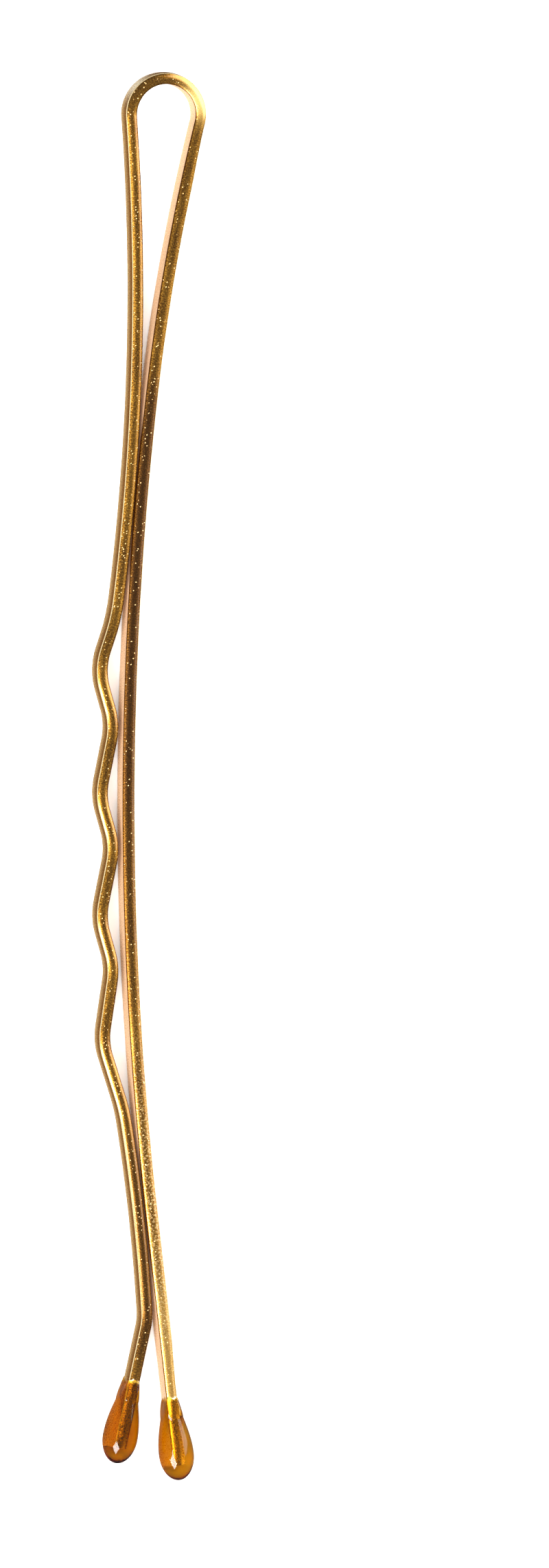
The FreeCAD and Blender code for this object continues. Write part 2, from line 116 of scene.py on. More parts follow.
# The dipped tips
TIP_DIAMETER = 1.5
TIP_LENGTH = 3.45
TIP_BELLY = 2.45
TIP_FILM = 0.04
TIP_COVER = 0.6
TIP_SAG = radians(1.5)
TIP_DRIP = 0.12
TIP_GRIP = TIP_LENGTH - TIP_COVER
# The power by which a drop swells, the powers of its outline at the neck and once it is round, and how
# much faster it rounds than it swells
SWELL_POWER = 1.4
SQUARE_POWER = 7
ROUND_POWER = 2
ROUNDING_RATE = 2.4
# Rings of a drop: at its neck, from there to its belly and over its end
NECK_PLACES = -0.05, -0.015, 0.0, 0.012, 0.03, 0.055, 0.085, 0.12, 0.16
SWELL_START = 0.22
SWELL_RINGS = 56
CAP_RINGS = 30
TIP_AROUND = 72
# The bead at the neck: places past the neck, and how far the film stands off the wire there
BEAD_PLACES = -0.05, -0.015, 0, 0.03, 0.085, 0.16, 0.4
BEAD_HEIGHTS = -0.05, -0.01, 0.004, 0.012, 0.022, 0.03, TIP_FILM
# The neck's wavering around the wire: two waves, and how far down the drop they die out
WAVER = 0.07
WAVER_TURNS = 2
RIPPLE = 0.05
RIPPLE_TURNS = 9
WAVER_RUN = 0.9
# Where painted shade begins to brown a drop towards its end
AMBER_SHADE_START = TIP_BELLY + 0.35

# How strongly the lacquer is painted pale as a highlight or dark as shade, from 0 to 1, and the lengths
# along the wire (down the straight leg for the foot, the press and the frost) between which that comes in
# and goes out
SHOULDER_PALE = 0.7
SHOULDER_PLACE = 1.0
SHOULDER_REACH = 1.1
FOOT_PALE = 0.34
FOOT_IN = 44, 52
PRESS_DARK = 0.8
PRESS_IN = 9, 13
PRESS_OUT = 25, 46
REST_DARK = 0.6
REST_IN = 46, 51
REST_OUT = 58, 61
FROST_IN = 36, 44
FROST_OUT = 51, 54
# Where a highlight is painted on the bow's outer side
BOW_HIGHLIGHT_PLACE = 4.0
BOW_HIGHLIGHT_REACH = 0.5


def bend(side, centre, radius, lean_in, lean_out):
    """A round stretch of the centreline as rows of x, y and lean.

    Each point is the centre less side times the radius along the cosine and sine of the lean; side is 1
    for a bend with its centre at +X of the wire and -1 for one at -X.
    """
    turn = abs(lean_out - lean_in)
    count = 2 + int(max(turn * radius / SECTION_STEP, turn / SECTION_TURN))
    lean = np.linspace(lean_in, lean_out, count)
    x = centre[0] - side * radius * np.cos(lean)
    y = centre[1] - side * radius * np.sin(lean)
    return np.column_stack((x, y, lean))


def run(start, length, lean):
    """A straight stretch: points spread evenly from start along the lean's direction."""
    along = np.linspace(0, length, 2 + int(length / SECTION_STEP))
    x = start[0] + along * sin(lean)
    y = start[1] - along * cos(lean)
    return np.column_stack((x, y, np.full_like(along, lean)))


def joined(stretches):
    """One centreline from stretches that follow each other, without the points where they meet twice."""
    rows = [stretches[0]]
    for stretch in stretches[1:]:
        rows.append(stretch[1:])
    return np.concatenate(rows)


def crossing_lean(first, second):
    """The lean of the straight run between two bends on different sides, each as side, centre and radius.

    It is the direction between the centres, turned by the angle whose cosine is the sum of the radii over
    the distance.
    """
    across = second[1][0] - first[1][0]
    down = second[1][1] - first[1][1]
    turn = acos(-first[0] * (first[2] + second[2]) / hypot(across, down))
    return (atan2(down, across) + turn + pi) % (2 * pi) - pi


# Centres of the straight leg's bends
entry_reach = BOW_RADIUS + ENTRY_RADIUS
entry = entry_reach * cos(STRAIGHT_LEAN), -entry_reach * sin(STRAIGHT_LEAN)
sweep_shift = SWEEP_RADIUS - ENTRY_RADIUS
sweep = entry[0] + sweep_shift * cos(SWEEP_LEAN), entry[1] - sweep_shift * sin(SWEEP_LEAN)

# The press bend touches the bow's circle and stands clear of the sweep by the press gap
sweep_reach = hypot(*sweep)
press_reach = BOW_RADIUS + PRESS_RADIUS
legs_reach = PRESS_RADIUS + SWEEP_RADIUS + WIRE_THICK + PRESS_GAP
press_back = (sweep_reach ** 2 + press_reach ** 2 - legs_reach ** 2) / (2 * sweep_reach)
press_side = sqrt(press_reach ** 2 - press_back ** 2)
press = (
    (press_back * sweep[0] + press_side * sweep[1]) / sweep_reach,
    (press_back * sweep[1] - press_side * sweep[0]) / sweep_reach,
)
press_lean = asin(-press[1] / press_reach)
bow_length = BOW_RADIUS * (pi + STRAIGHT_LEAN + press_lean)

# The crimp stands off the sweep; a shoulder and a flank lead on to its first crest
trough_x = sweep[0] - SWEEP_RADIUS - WIRE_THICK - TROUGH_GAP
crest_x = trough_x - CRIMP_DEPTH
flank_reach = FLANK_RUN * sin(FLANK_LEAN) + CRIMP_RADIUS * (1 - cos(FLANK_LEAN))
shoulder_shift = PRESS_RADIUS - SHOULDER_RADIUS
shoulder_x = crest_x + flank_reach - SHOULDER_RADIUS * cos(FLANK_LEAN)
shoulder_lean = acos((shoulder_x - press[0]) / shoulder_shift)
shoulder = shoulder_x, press[1] - shoulder_shift * sin(shoulder_lean)
crest_y = (
    shoulder[1] - SHOULDER_RADIUS * sin(FLANK_LEAN)
    - FLANK_RUN * cos(FLANK_LEAN) - CRIMP_RADIUS * sin(FLANK_LEAN)
)
crimp_pitch = CREST_TO_TROUGH + TROUGH_TO_CREST

# Below the crimp the leg comes to rest beside the foot, then kicks out
foot_y = crest_y - (CRESTS - 1) * crimp_pitch - REST_RUN
foot_lean = asin((sweep[1] - foot_y) / SWEEP_RADIUS)
rest_reach = SWEEP_RADIUS + REST_RADIUS + WIRE_THICK + REST_GAP
rest = sweep[0] - rest_reach * cos(foot_lean), sweep[1] - rest_reach * sin(foot_lean)
rest_lean = foot_lean + REST_LEAD / REST_RADIUS
lower_shift = REST_RADIUS - SHOULDER_RADIUS
lower_shoulder = rest[0] + lower_shift * cos(rest_lean), rest[1] + lower_shift * sin(rest_lean)
kick_shift = REST_RADIUS - KICK_RADIUS
kick = rest[0] + kick_shift * cos(KICK_LEAN), rest[1] + kick_shift * sin(KICK_LEAN)


def straight_track():
    """The straight leg's centreline: an entry bend, a long sweep and a straight foot."""
    stretches = [
        bend(1, entry, ENTRY_RADIUS, -STRAIGHT_LEAN, -SWEEP_LEAN),
        bend(1, sweep, SWEEP_RADIUS, -SWEEP_LEAN, foot_lean),
    ]
    stretches.append(run(stretches[-1][-1, :2], FOOT_RUN, foot_lean))
    return joined(stretches)


def crimped_track():
    """The crimped leg's centreline: press bend, crests and troughs, rest bend, kick and flare.

    The waves are round bends on alternate sides with straight runs between them. The last crest lies a
    little nearer to the straight leg than the others.
    """
    waves = [(-1, shoulder, SHOULDER_RADIUS)]
    for crest in range(CRESTS):
        y = crest_y - crest * crimp_pitch
        ease_in = LAST_CREST_EASE if crest == CRESTS - 1 else 0
        waves.append((1, (crest_x + ease_in + CRIMP_RADIUS, y), CRIMP_RADIUS))
        if crest < CRESTS - 1:
            waves.append((-1, (trough_x - CRIMP_RADIUS, y - CREST_TO_TROUGH), CRIMP_RADIUS))
    waves.append((-1, lower_shoulder, SHOULDER_RADIUS))
    leans = [-shoulder_lean]
    leans += [crossing_lean(first, second) for first, second in zip(waves, waves[1:])]
    leans.append(rest_lean)

    stretches = [bend(-1, press, PRESS_RADIUS, press_lean, -shoulder_lean)]
    for number, (side, centre, radius) in enumerate(waves):
        wave = bend(side, centre, radius, leans[number], leans[number + 1])
        if number:
            start = stretches[-1][-1, :2]
            stretches.append(run(start, hypot(*(wave[0, :2] - start)), leans[number]))
        stretches.append(wave)
    stretches.append(bend(-1, rest, REST_RADIUS, rest_lean, KICK_LEAN))
    stretches.append(bend(-1, kick, KICK_RADIUS, KICK_LEAN, -FLARE_LEAN))
    stretches.append(run(stretches[-1][-1, :2], FLARE_RUN, -FLARE_LEAN))
    return joined(stretches)


straight = straight_track()
crimped = crimped_track()

# The bow's centre, seen from the origin under the middle of the pin
foot_neck = straight[-1, :2] - TIP_GRIP * np.array((sin(foot_lean), -cos(foot_lean)))
flare_neck = crimped[-1, :2] - TIP_GRIP * np.array((-sin(FLARE_LEAN), -cos(FLARE_LEAN)))
belly_radius = TIP_DIAMETER / 2
pin_top = BOW_RADIUS + WIRE_THICK / 2
tip_drop = hypot((TIP_LENGTH - TIP_BELLY) * cos(foot_lean), belly_radius * sin(foot_lean))
pin_end = foot_neck[1] - TIP_BELLY * cos(foot_lean) - tip_drop
bow_place = np.array((-(BOW_RADIUS + crest_x) / 2, -(pin_top + pin_end) / 2, belly_radius))


def smooth(value, low, high):
    """A value's smooth way from 0 to 1 while it goes from low to high."""
    share = np.clip((value - low) / (high - low), 0, 1)
    return share ** 2 * (3 - 2 * share)


def stretch_of(length, come_in, go_out):
    """1 on a stretch of the wire and 0 off it, from the lengths between which it comes in and goes out."""
    return smooth(length, *come_in) - smooth(length, *go_out)


def bell(length, place, reach):
    """A rounded rise to 1 at a place: e to the minus square of the distance over the reach."""
    return np.exp(-((length - place) / reach) ** 2)


def painted_light_and_shade(length):
    """Painted light and shade along the wire: above 0 a painted highlight makes the lacquer pale, below 0
    painted shade makes it dark.

    The highlight is painted on the bow's shoulder over the straight leg and along that leg's foot, and the
    shade where the crimped leg presses on it and on the crimped leg's rest bend.
    """
    highlight = SHOULDER_PALE * bell(length, SHOULDER_PLACE, SHOULDER_REACH)
    highlight += FOOT_PALE * smooth(-length, *FOOT_IN)
    painted_shade = PRESS_DARK * stretch_of(-length, PRESS_IN, PRESS_OUT)
    painted_shade += REST_DARK * stretch_of(length, REST_IN, REST_OUT)
    return highlight - painted_shade


def wire_profile():
    """The wire's section as closed rows of outward and upward distance, with the side that each lies on.

    An arc for the crowned outer side, an arc for each narrow edge and a straight inner side, drawn with the
    ridges' radius left off all round; each arc is then grown by it and the corners between them become
    arcs of it. The lower half mirrors the upper one.
    """
    half_thick = WIRE_THICK / 2 - RIDGE_ROUND
    half_wide = WIRE_WIDE / 2 - RIDGE_ROUND
    face_half = half_wide - EDGE_BULGE
    crown_radius = (face_half ** 2 + WIRE_CROWN ** 2) / (2 * WIRE_CROWN)
    crown_half = asin(face_half / crown_radius)
    edge_half = half_thick - WIRE_CROWN / 2
    edge_radius = (edge_half ** 2 + EDGE_BULGE ** 2) / (2 * EDGE_BULGE)
    edge_turn = asin(edge_half / edge_radius)
    edge_start = pi / 2 - edge_turn
    edge_end = pi / 2 + edge_turn

    def arc(x, up, radius, start, end, count):
        """Points round a centre, from start up to the point before the end."""
        angle = np.linspace(start, end, count + 1)[:-1]
        grown = radius + RIDGE_ROUND
        return np.column_stack((x + grown * np.cos(angle), up + grown * np.sin(angle)))

    flat_up = np.linspace(face_half, 0, FLAT_POINTS + 1)
    upper = np.concatenate((
        arc(half_thick - crown_radius, 0, crown_radius, 0, crown_half, CROWN_POINTS),
        arc(half_thick - WIRE_CROWN, face_half, 0, crown_half, edge_start, RIDGE_POINTS),
        arc(-WIRE_CROWN / 2, half_wide - edge_radius, edge_radius, edge_start, edge_end, EDGE_POINTS),
        arc(-half_thick, face_half, 0, edge_end, pi, RIDGE_POINTS),
        np.column_stack((np.full_like(flat_up, -half_thick - RIDGE_ROUND), flat_up)),
    ))
    counts = CROWN_POINTS, RIDGE_POINTS, EDGE_POINTS, RIDGE_POINTS, FLAT_POINTS + 1
    sides = np.repeat(SIDES, counts)
    points = np.concatenate((upper, upper[-2:0:-1] * (1, -1)))
    return points, np.concatenate((sides, sides[-2:0:-1]))


def add_mesh(name, vertices, faces, smooth_faces):
    """A mesh object at the origin from vertices in metres and faces as vertex numbers."""
    mesh = bpy.data.meshes.new(name)
    mesh.from_pydata(vertices.tolist(), [], faces)
    mesh.polygons.foreach_set("use_smooth", smooth_faces)
    mesh.update()
    piece = bpy.data.objects.new(name, mesh)
    bpy.context.scene.collection.objects.link(piece)
    return piece


def ring_faces(rings, around):
    """Quads between neighbouring rings of a grid that is closed around."""
    ring, spot = np.meshgrid(np.arange(rings - 1), np.arange(around), indexing="ij")
    beside = (spot + 1) % around
    here, there = ring * around, (ring + 1) * around
    return np.stack((here + spot, here + beside, there + beside, there + spot), axis=-1).reshape(-1, 4)


def with_lids(rows):
    """One row for each ring of the wire, then the first and the last again for its lids."""
    return np.concatenate((rows, rows[:1], rows[-1:]))


def set_attribute(piece, label, values, kind="FLOAT", field="value"):
    """A named value, or vector, at each of a piece's vertices."""
    attribute = piece.data.attributes.new(label, kind, "POINT")
    attribute.data.foreach_set(field, np.ascontiguousarray(values, np.float32).ravel())


def sweep_wire(name, places, outward, length, past_neck, clear, squeeze, full):
    """The wire's section carried along a centreline.

    Each vertex is the centreline's point plus the section's outward distance along the outward direction
    and its upward distance along +Z. The section breathes by a few thousandths along the wire, as rolled
    wire does, its outer side stands full by some millimetres, and a bend squeezes it: narrower on its
    outer side and wider on its inner one by that share. Both ends are closed by flat lids of their own.

    The attributes hold where each vertex lies: millimetres along and around the wire, how far past the
    neck of its tip, how far clear of the other leg, how far up the section and on which of its sides; and
    what is painted on the lacquer there: its painted light and shade, the painted highlight on the bow, and
    its frost.
    """
    profile, sides_of = wire_profile()
    half_thick = WIRE_THICK / 2
    around, rings = len(profile), len(places)
    waves = np.sin(length * FAST_BREATH) * np.sin(length * SLOW_BREATH + BREATH_SHIFT)
    breath = 1 - BREATH * (1 + waves)
    section = profile[None] * breath[:, None, None]
    section[..., 0] += full[:, None] * np.clip(section[..., 0] / half_thick, 0, None)
    grid = np.empty((rings, around, 3))
    grid[..., :2] = places[:, None, :] + section[..., :1] * outward[:, None, :]
    grid[..., 2] = section[..., 1] * (1 - squeeze[:, None] * section[..., 0] / half_thick)
    vertices = with_lids(grid + bow_place).reshape(-1, 3)

    # The faces point outwards whichever way round the sections lie along the centreline
    sides = ring_faces(rings, around)
    first_lid = rings * around + np.arange(around)
    last_lid = first_lid + around
    along = places[1] - places[0]
    if along[0] * outward[0, 1] > along[1] * outward[0, 0]:
        sides = sides[:, ::-1]
        last_lid = last_lid[::-1]
    else:
        first_lid = first_lid[::-1]
    smooth_faces = np.ones(len(sides) + 2, bool)
    smooth_faces[-2:] = False
    faces = sides.tolist() + [first_lid.tolist(), last_lid.tolist()]
    piece = add_mesh(name, vertices * MM, faces, smooth_faces)

    steps = np.linalg.norm(np.diff(profile, axis=0), axis=1)
    lay = np.zeros((rings + 2, around, 3))
    lay[..., 0] = with_lids(length)[:, None]
    lay[..., 1] = np.concatenate(((0,), np.cumsum(steps)))
    set_attribute(piece, "lay", lay, "FLOAT_VECTOR", "vector")
    for label, along_wire in (
        ("past_neck", past_neck),
        ("clear", clear),
        ("light_and_shade", painted_light_and_shade(length)),
        ("painted_bow_highlight", bell(length, BOW_HIGHLIGHT_PLACE, BOW_HIGHLIGHT_REACH)),
        ("frosted", stretch_of(-length, FROST_IN, FROST_OUT)),
    ):
        set_attribute(piece, label, np.repeat(with_lids(along_wire), around))
    set_attribute(piece, "rise", np.tile(profile[:, 1] / WIRE_WIDE + 0.5, rings + 2))
    for side in SIDES:
        set_attribute(piece, side, np.tile(sides_of == side, rings + 2))
    return piece


def bow_piece():
    """The bow: an arc of the bow's radius, from the straight leg round to the crimped one."""
    angle = np.linspace(-STRAIGHT_LEAN, pi + press_lean, BOW_SECTIONS)
    outward = np.column_stack((np.cos(angle), np.sin(angle)))
    length = BOW_RADIUS * (angle - angle[0])
    squeeze = BOW_SQUEEZE * smooth(np.minimum(length, bow_length - length), 0, WIRE_WIDE)
    past_neck = length - 2 * bow_length
    clear = np.full_like(length, BOW_RADIUS)
    even = np.zeros_like(length)
    return sweep_wire("bow_wire", BOW_RADIUS * outward, outward, length, past_neck, clear, squeeze, even)


def leg_piece(name, track, other, side, start, full):
    """A leg: its outward direction is the lean's cosine and sine, times 1 on the right and -1 on the left.

    Lengths along the wire run on from start, where the leg leaves the bow. Its outer side stands full
    between the bow and the tip.
    """
    outward = side * np.column_stack((np.cos(track[:, 2]), np.sin(track[:, 2])))
    steps = np.linalg.norm(np.diff(track[:, :2], axis=0), axis=1)
    down = np.concatenate(((0,), np.cumsum(steps)))
    past_neck = down - down[-1] + TIP_GRIP
    apart = np.linalg.norm(track[:, None, :2] - other[None, :, :2], axis=-1)
    clear = apart.min(axis=1) - WIRE_THICK
    even = np.zeros_like(down)
    full = full * smooth(down, 0, FULL_RUN) * smooth(-past_neck, FULL_END, FULL_RUN)
    return sweep_wire(name, track[:, :2], outward, start - side * down, past_neck, clear, even, full)


def tip_piece(name, neck, lean_in, lean_out, turn):
    """A drop of epoxy on the wire's end.

    Its axis leaves the neck along the wire and turns evenly to lean_out. The section's half sizes grow
    from the wire's plus a film to the belly's radius by a power of the sine of their place, and its
    outline goes from a squarish superellipse to a round one; past the belly it closes as half an
    ellipsoid. At the neck the film ends in a small rounded bead, wavering around the wire from an angle,
    turn, of its own.
    """
    length = TIP_LENGTH + TIP_DRIP
    tip_round = length - TIP_BELLY
    place = np.concatenate((
        NECK_PLACES,
        np.linspace(SWELL_START, TIP_BELLY, SWELL_RINGS),
        TIP_BELLY + tip_round * np.sin(np.linspace(0, pi / 2, CAP_RINGS + 2)[1:-1]),
    ))
    grown = np.sin(pi / 2 * np.clip(place / TIP_BELLY, 0, 1)) ** SWELL_POWER
    bead = np.interp(place, BEAD_PLACES, BEAD_HEIGHTS)
    close = np.sqrt(1 - (np.clip(place - TIP_BELLY, 0, None) / tip_round) ** 2)
    half_thick = (WIRE_THICK / 2 + bead + (belly_radius - WIRE_THICK / 2 - TIP_FILM) * grown) * close
    half_wide = (WIRE_WIDE / 2 + bead + (belly_radius - WIRE_WIDE / 2 - TIP_FILM) * grown) * close
    rounded = np.clip(grown * ROUNDING_RATE, 0, 1)
    power = (SQUARE_POWER - (SQUARE_POWER - ROUND_POWER) * rounded)[:, None]

    angle = np.linspace(0, 2 * pi, TIP_AROUND, endpoint=False)
    square = (np.abs(np.cos(angle)) / half_thick[:, None]) ** power
    square += (np.abs(np.sin(angle)) / half_wide[:, None]) ** power
    reach = square ** (-1 / power)
    waver = WAVER * np.sin(WAVER_TURNS * angle + turn)
    waver += RIPPLE * np.sin(RIPPLE_TURNS * angle + 2 * turn)
    along = place[:, None] + waver * np.clip(1 - place / WAVER_RUN, 0, 1)[:, None] ** 2

    lean = lean_in + (lean_out - lean_in) * along / TIP_LENGTH
    chord_lean = (lean_in + lean) / 2
    x = neck[0] + along * np.sin(chord_lean) + reach * np.cos(angle) * np.cos(lean)
    y = neck[1] - along * np.cos(chord_lean) + reach * np.cos(angle) * np.sin(lean)
    z = reach * np.sin(angle)
    rings = np.stack((x, y, z), axis=-1)
    start = rings[0].mean(axis=0)
    end_lean = (lean_in + lean_out) / 2
    end = np.array((neck[0] + length * sin(end_lean), neck[1] - length * cos(end_lean), 0))
    vertices = np.concatenate((rings.reshape(-1, 3), start[None], end[None])) + bow_place

    # Fans of triangles close the drop at its start and its end
    count = len(place) * TIP_AROUND
    spot = np.arange(TIP_AROUND)
    beside = (spot + 1) % TIP_AROUND
    last_ring = count - TIP_AROUND
    start_fan = np.column_stack((spot, np.full_like(spot, count), beside))
    end_fan = np.column_stack((last_ring + spot, last_ring + beside, np.full_like(spot, count + 1)))
    faces = ring_faces(len(place), TIP_AROUND).tolist() + start_fan.tolist() + end_fan.tolist()
    piece = add_mesh(name, vertices * MM, faces, np.ones(len(faces), bool))
    ending = smooth(place, AMBER_SHADE_START, length)
    set_attribute(piece, "ending", np.concatenate((np.repeat(ending, TIP_AROUND), (0, 1))))
    return piece


def set_inputs(tree, node, inputs):
    """A node's inputs, each set to a value or linked to a socket."""
    for key, value in inputs.items():
        if isinstance(value, bpy.types.NodeSocket):
            tree.links.new(value, node.inputs[key])
        else:
            node.inputs[key].default_value = value


def add_node(tree, kind, inputs=None, **settings):
    """A shader node with its settings and inputs."""
    node = tree.nodes.new(kind)
    for setting, value in settings.items():
        setattr(node, setting, value)
    set_inputs(tree, node, inputs or {})
    return node


def blend_colour(tree, factor, first, second):
    """The colour between two others, each a socket or a value."""
    return add_node(tree, "ShaderNodeMix", {0: factor, 6: first, 7: second}, data_type="RGBA").outputs[2]


def ease(tree, value, low, high, start=0.0, end=1.0):
    """A value's smooth way from start to end while it goes from low to high."""
    inputs = {"Value": value, "From Min": low, "From Max": high, "To Min": start, "To Max": end}
    return add_node(tree, "ShaderNodeMapRange", inputs, interpolation_type="SMOOTHSTEP").outputs["Result"]


def calculate(tree, operation, first, second=0.0):
    """The result of a sum, product or other operation on sockets or values."""
    return add_node(tree, "ShaderNodeMath", {0: first, 1: second}, operation=operation).outputs["Value"]


def attribute_of(tree, name, output="Fac"):
    """What an attribute holds at the point that is shaded."""
    return add_node(tree, "ShaderNodeAttribute", attribute_name=name).outputs[output]


def new_material(name):
    """A material with only a Principled BSDF and an output."""
    material = bpy.data.materials.new(name)
    material.use_nodes = True
    tree = material.node_tree
    tree.nodes.clear()
    shader = add_node(tree, "ShaderNodeBsdfPrincipled")
    output = add_node(tree, "ShaderNodeOutputMaterial", {"Surface": shader.outputs["BSDF"]})
    return material, tree, shader, output


# The lacquer's colours
LACQUER_DEEP = 0.27, 0.105, 0.008, 1
LACQUER_LIGHT = 0.50, 0.225, 0.022, 1
GRAIN_GOLD = 0.85, 0.48, 0.09, 1
# The outer side: pale below as a painted reflection of the floor, dark above as painted shade
PAINTED_OUTER_REFLECTION = 0.62, 0.40, 0.17, 1
PAINTED_OUTER_SHADE = 0.16, 0.055, 0.003, 1
# A painted highlight on the bow's outer side
PAINTED_BOW_GLEAM = 0.95, 0.84, 0.62, 1
# Painted shade along the inner ridges
PAINTED_FOLD_SHADE = 0.14, 0.045, 0.003, 1
# Painted shade on the inner side where the legs meet
PAINTED_CONTACT_SHADE = 0.10, 0.022, 0.001, 1
# The inner side's pale peach is a painted reflection
PAINTED_INNER_REFLECTION = 0.68, 0.46, 0.28, 1
PIT_BROWN = 0.12, 0.05, 0.01, 1
# The ridges' pale line is a painted highlight
PAINTED_RIDGE_HIGHLIGHT = 0.92, 0.76, 0.43, 1
# Painted shade on the narrow edges along the press and the rest bend
PAINTED_PRESS_SHADE = 0.15, 0.055, 0.010, 1
# A painted highlight on the narrow edges at the bow's shoulder and the straight leg's foot
PAINTED_EDGE_HIGHLIGHT = 0.72, 0.52, 0.18, 1
# Glints are painted highlights
GLINT_GOLD = 0.95, 0.68, 0.32, 1
FROST_GOLD = 0.66, 0.48, 0.23, 1
TIP_INSIDE_BROWN = 0.30, 0.11, 0.008, 1
# A painted highlight at the neck of each tip
PAINTED_NECK_HIGHLIGHT = 0.95, 0.78, 0.56, 1
SHEEN_GOLD = 0.8, 0.55, 0.3, 1

# Noise in the lacquer: how fine it is, the levels between which it shows, and how much of it does
DRAWN_ALONG = 0.3, 1.0, 1.0
NOISE_ROUGHNESS = 0.6
FINE_DETAIL = 3.0
SOFT_DETAIL = 2.0
MOTTLE_SCALE = 1.6
MOTTLE_LEVELS = 0.3, 0.7
GRAIN_SCALE = 16.0
GRAIN_LEVELS = 0.45, 0.75
GRAIN_SHARE = 0.55
FROST_SCALE = 11.0
FROST_LEVELS = 0.48, 0.62
FROST_SHARE = 0.55
# Flecks: how fine their cells are, their radius in a cell, and the share of the cells that have one
PITS = 1.1, 0.07, 0.2
GLINTS = 6.5, 0.19, 0.9
FLECK_CORE = 0.4
# How much of their own colour the painted highlights on the bow and on the ridges show
BOW_HIGHLIGHT_SHARE = 0.8
RIDGE_SHARE = 0.8
# Part of the wire's width over which the outer side darkens upwards, from a painted reflection below to
# painted shade above
OUTER_RISE = 0.1, 0.9
# How near the other leg brings painted shade on the inner side, and the strip along its middle that stays
# pale
CONTACT_CLEAR = 0.09, 0.17
CONTACT_STRIP = 0.31, 0.25
# The wire darker brown where it runs inside its tip, and a ragged painted highlight at the neck
INSIDE_TIP_RUN = 0.15
INSIDE_TIP_SHARE = 0.75
NECK_HIGHLIGHT_RUN = 0.3, 0.2
NECK_HIGHLIGHT_SCALE = 6.0
NECK_HIGHLIGHT_RAGGED = 0.4
# The lacquer's gloss, with a clear coat on the narrow edges and ridges but hardly any on the other sides,
# and its fine relief in millimetres
GLOSS_LEVELS = 0.3, 0.7
GLOSS_ROUGHNESS = 0.22, 0.36
COAT_WEIGHTS = 0.9, 0.05
COAT_ROUGHNESS = 0.12
METAL_SPECULAR = 0.2
GLINT_RELIEF = 1.5
RELIEF_STRENGTH = 0.5
RELIEF_DEPTH = 0.012


